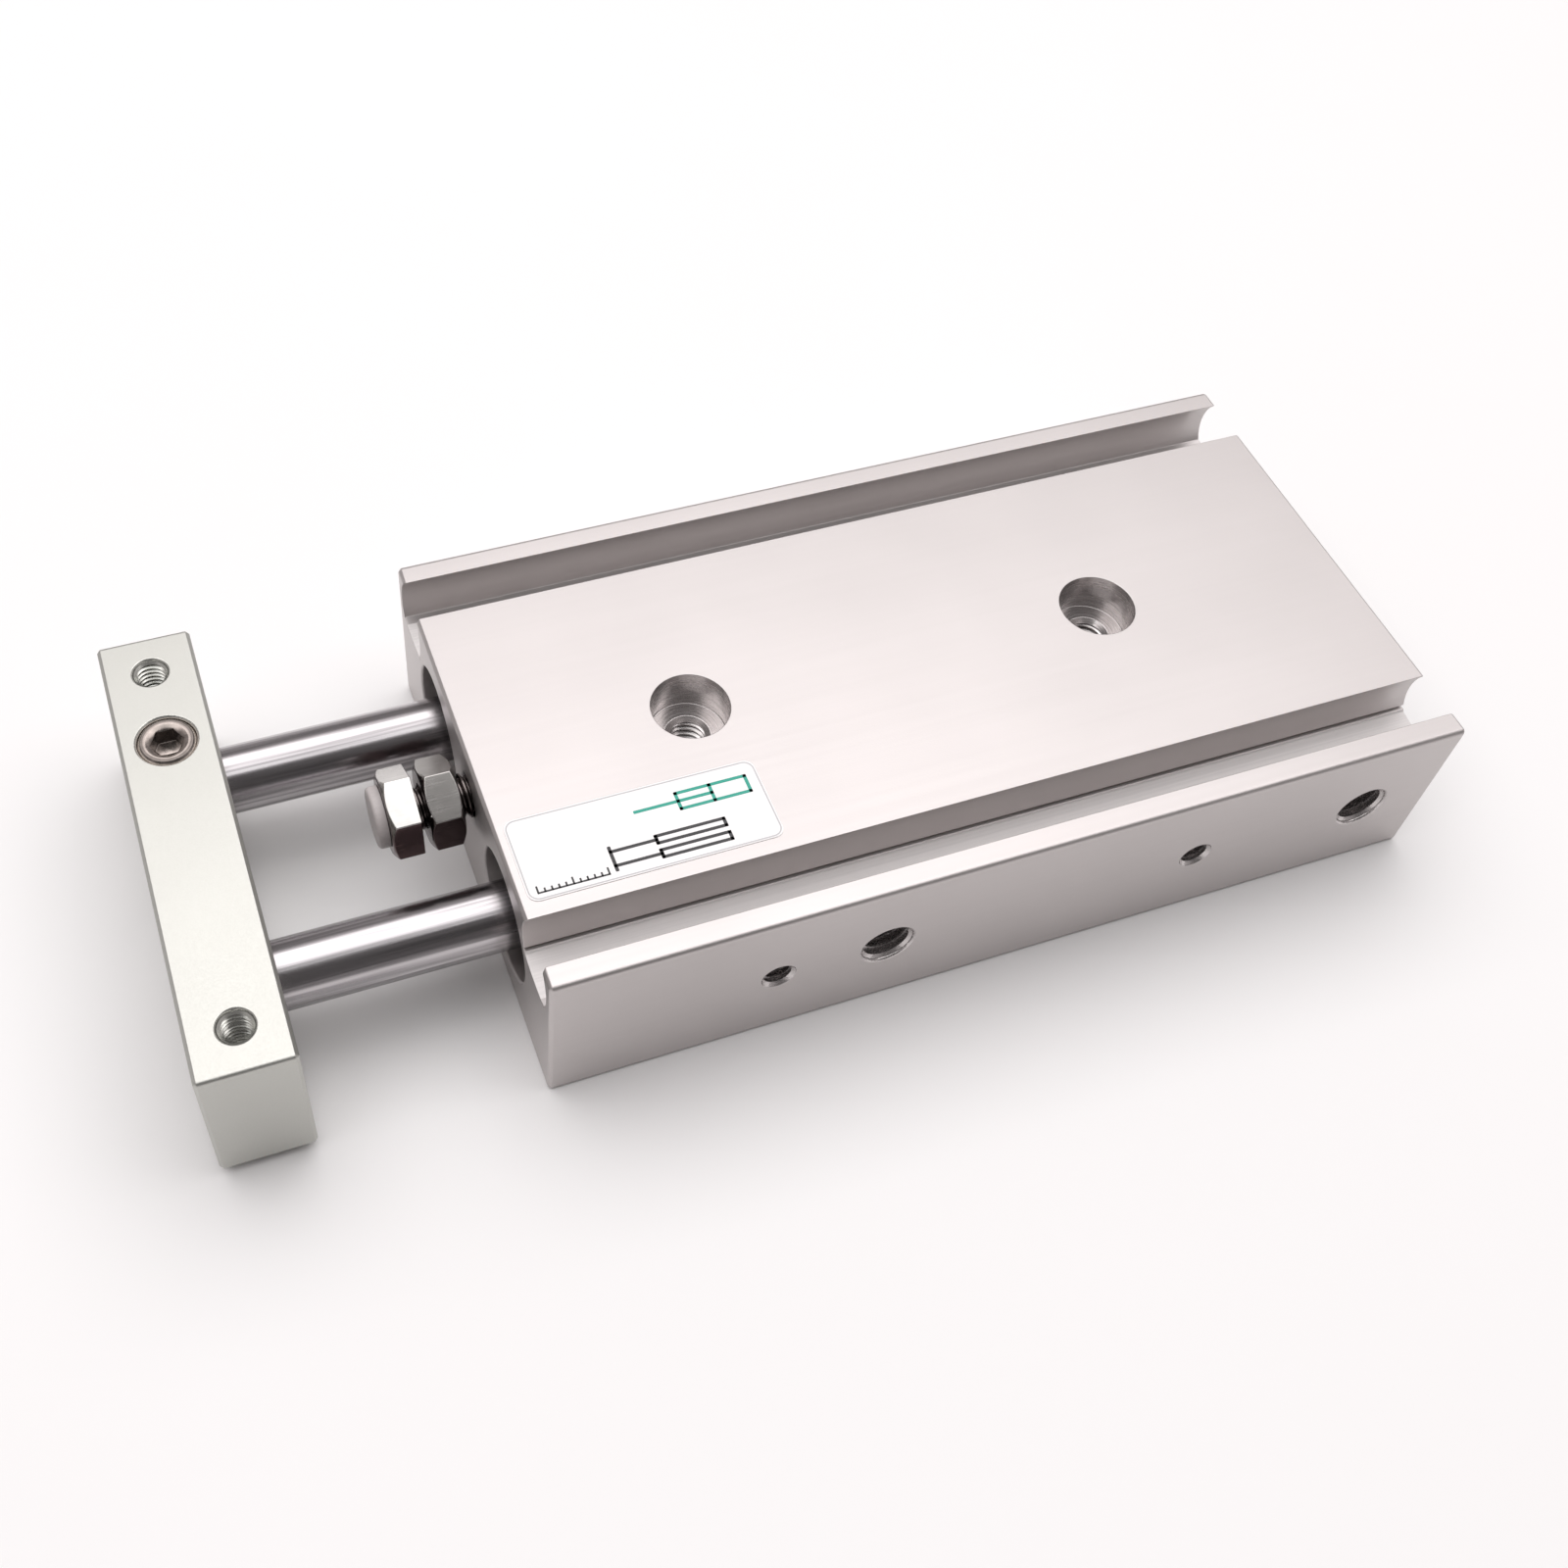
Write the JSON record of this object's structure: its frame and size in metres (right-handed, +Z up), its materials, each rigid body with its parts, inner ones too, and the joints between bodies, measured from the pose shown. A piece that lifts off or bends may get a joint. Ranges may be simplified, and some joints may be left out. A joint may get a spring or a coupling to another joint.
{
  "type": "guided pneumatic cylinder",
  "caption": "Flat double-acting air cylinder whose twin rods drive one end plate, with side air ports, top sensor slots and a screw-in stroke stopper.",
  "frame": {"origin": "on the mounting face, halfway between the two counterbored mounting holes", "axes": "+X along the rods from the body towards the end plate, +Y towards the side with the air ports, +Z up from the mounting face"},
  "size_m": [0.1122, 0.046, 0.017],
  "materials": {
    "body_anodised": "clear anodised, matte, fine extrusion grain",
    "plate_anodised": "clear anodised, matte",
    "hard_chrome": "hard chrome, ground and polished",
    "zinc_steel": "nickel plated",
    "black_steel": "black oxide",
    "bearing_alloy": "turned",
    "spring_steel": "phosphated",
    "nitrile": "moulded",
    "urethane": "moulded urethane",
    "magnet": "bonded magnet"
  },
  "bodies": {
    "housing": {"body_block": "body_anodised", "rod_cover_left": "bearing_alloy", "head_cover_left": "bearing_alloy", "rod_seal_left": "nitrile", "seal_retainer_left": "spring_steel", "cover_o_ring_left": "nitrile", "front_snap_ring_left": "spring_steel", "rod_cushion_left": "urethane", "head_bumper_left": "urethane", "head_o_ring_left": "nitrile", "rear_snap_ring_left": "spring_steel", "rod_cover_right": "bearing_alloy", "head_cover_right": "bearing_alloy", "rod_seal_right": "nitrile", "seal_retainer_right": "spring_steel", "cover_o_ring_right": "nitrile", "front_snap_ring_right": "spring_steel", "rod_cushion_right": "urethane", "head_bumper_right": "urethane", "head_o_ring_right": "nitrile", "rear_snap_ring_right": "spring_steel"},
    "rod_unit": {"end_plate": "plate_anodised", "piston_rod_left": "hard_chrome", "piston_rod_right": "hard_chrome", "plate_cap_screw": "black_steel", "rod_set_screw": "black_steel", "piston_left": "bearing_alloy", "piston_seal_left": "nitrile", "magnet_left": "magnet", "magnet_washer_left": "zinc_steel", "piston_nut_left": "zinc_steel", "piston_right": "bearing_alloy", "piston_seal_right": "nitrile", "magnet_right": "magnet", "magnet_washer_right": "zinc_steel", "piston_nut_right": "zinc_steel"},
    "stopper_pad": {"stopper_bumper": "urethane"},
    "stopper_screw": {"stopper_bolt": "zinc_steel"},
    "lock_nut_body": {"lock_nut": "zinc_steel"}
  },
  "joints": [
    {"name": "rod_slide", "type": "slide", "parent": "housing", "child": "rod_unit", "axis": [1, 0, 0], "range_m": [-0.01065, 0.01935]},
    {"name": "stopper_travel", "type": "slide", "parent": "housing", "child": "stopper_pad", "axis": [1, 0, 0], "range_m": [-0.0007, 0]},
    {"name": "stopper_turn", "type": "hinge", "parent": "stopper_pad", "child": "stopper_screw", "pos_m": [0.04485, 0, 0.0122], "axis": [1, 0, 0], "range_deg": [-360, 0]},
    {"name": "lock_nut_turn", "type": "hinge", "parent": "housing", "child": "lock_nut_body", "pos_m": [0.0411, 0, 0.0122], "axis": [1, 0, 0], "range_deg": [-566, 386]}
  ],
  "couplings": [
    {"joint": "stopper_turn", "follows": "stopper_travel", "rad_per_m": 8976}
  ]
}
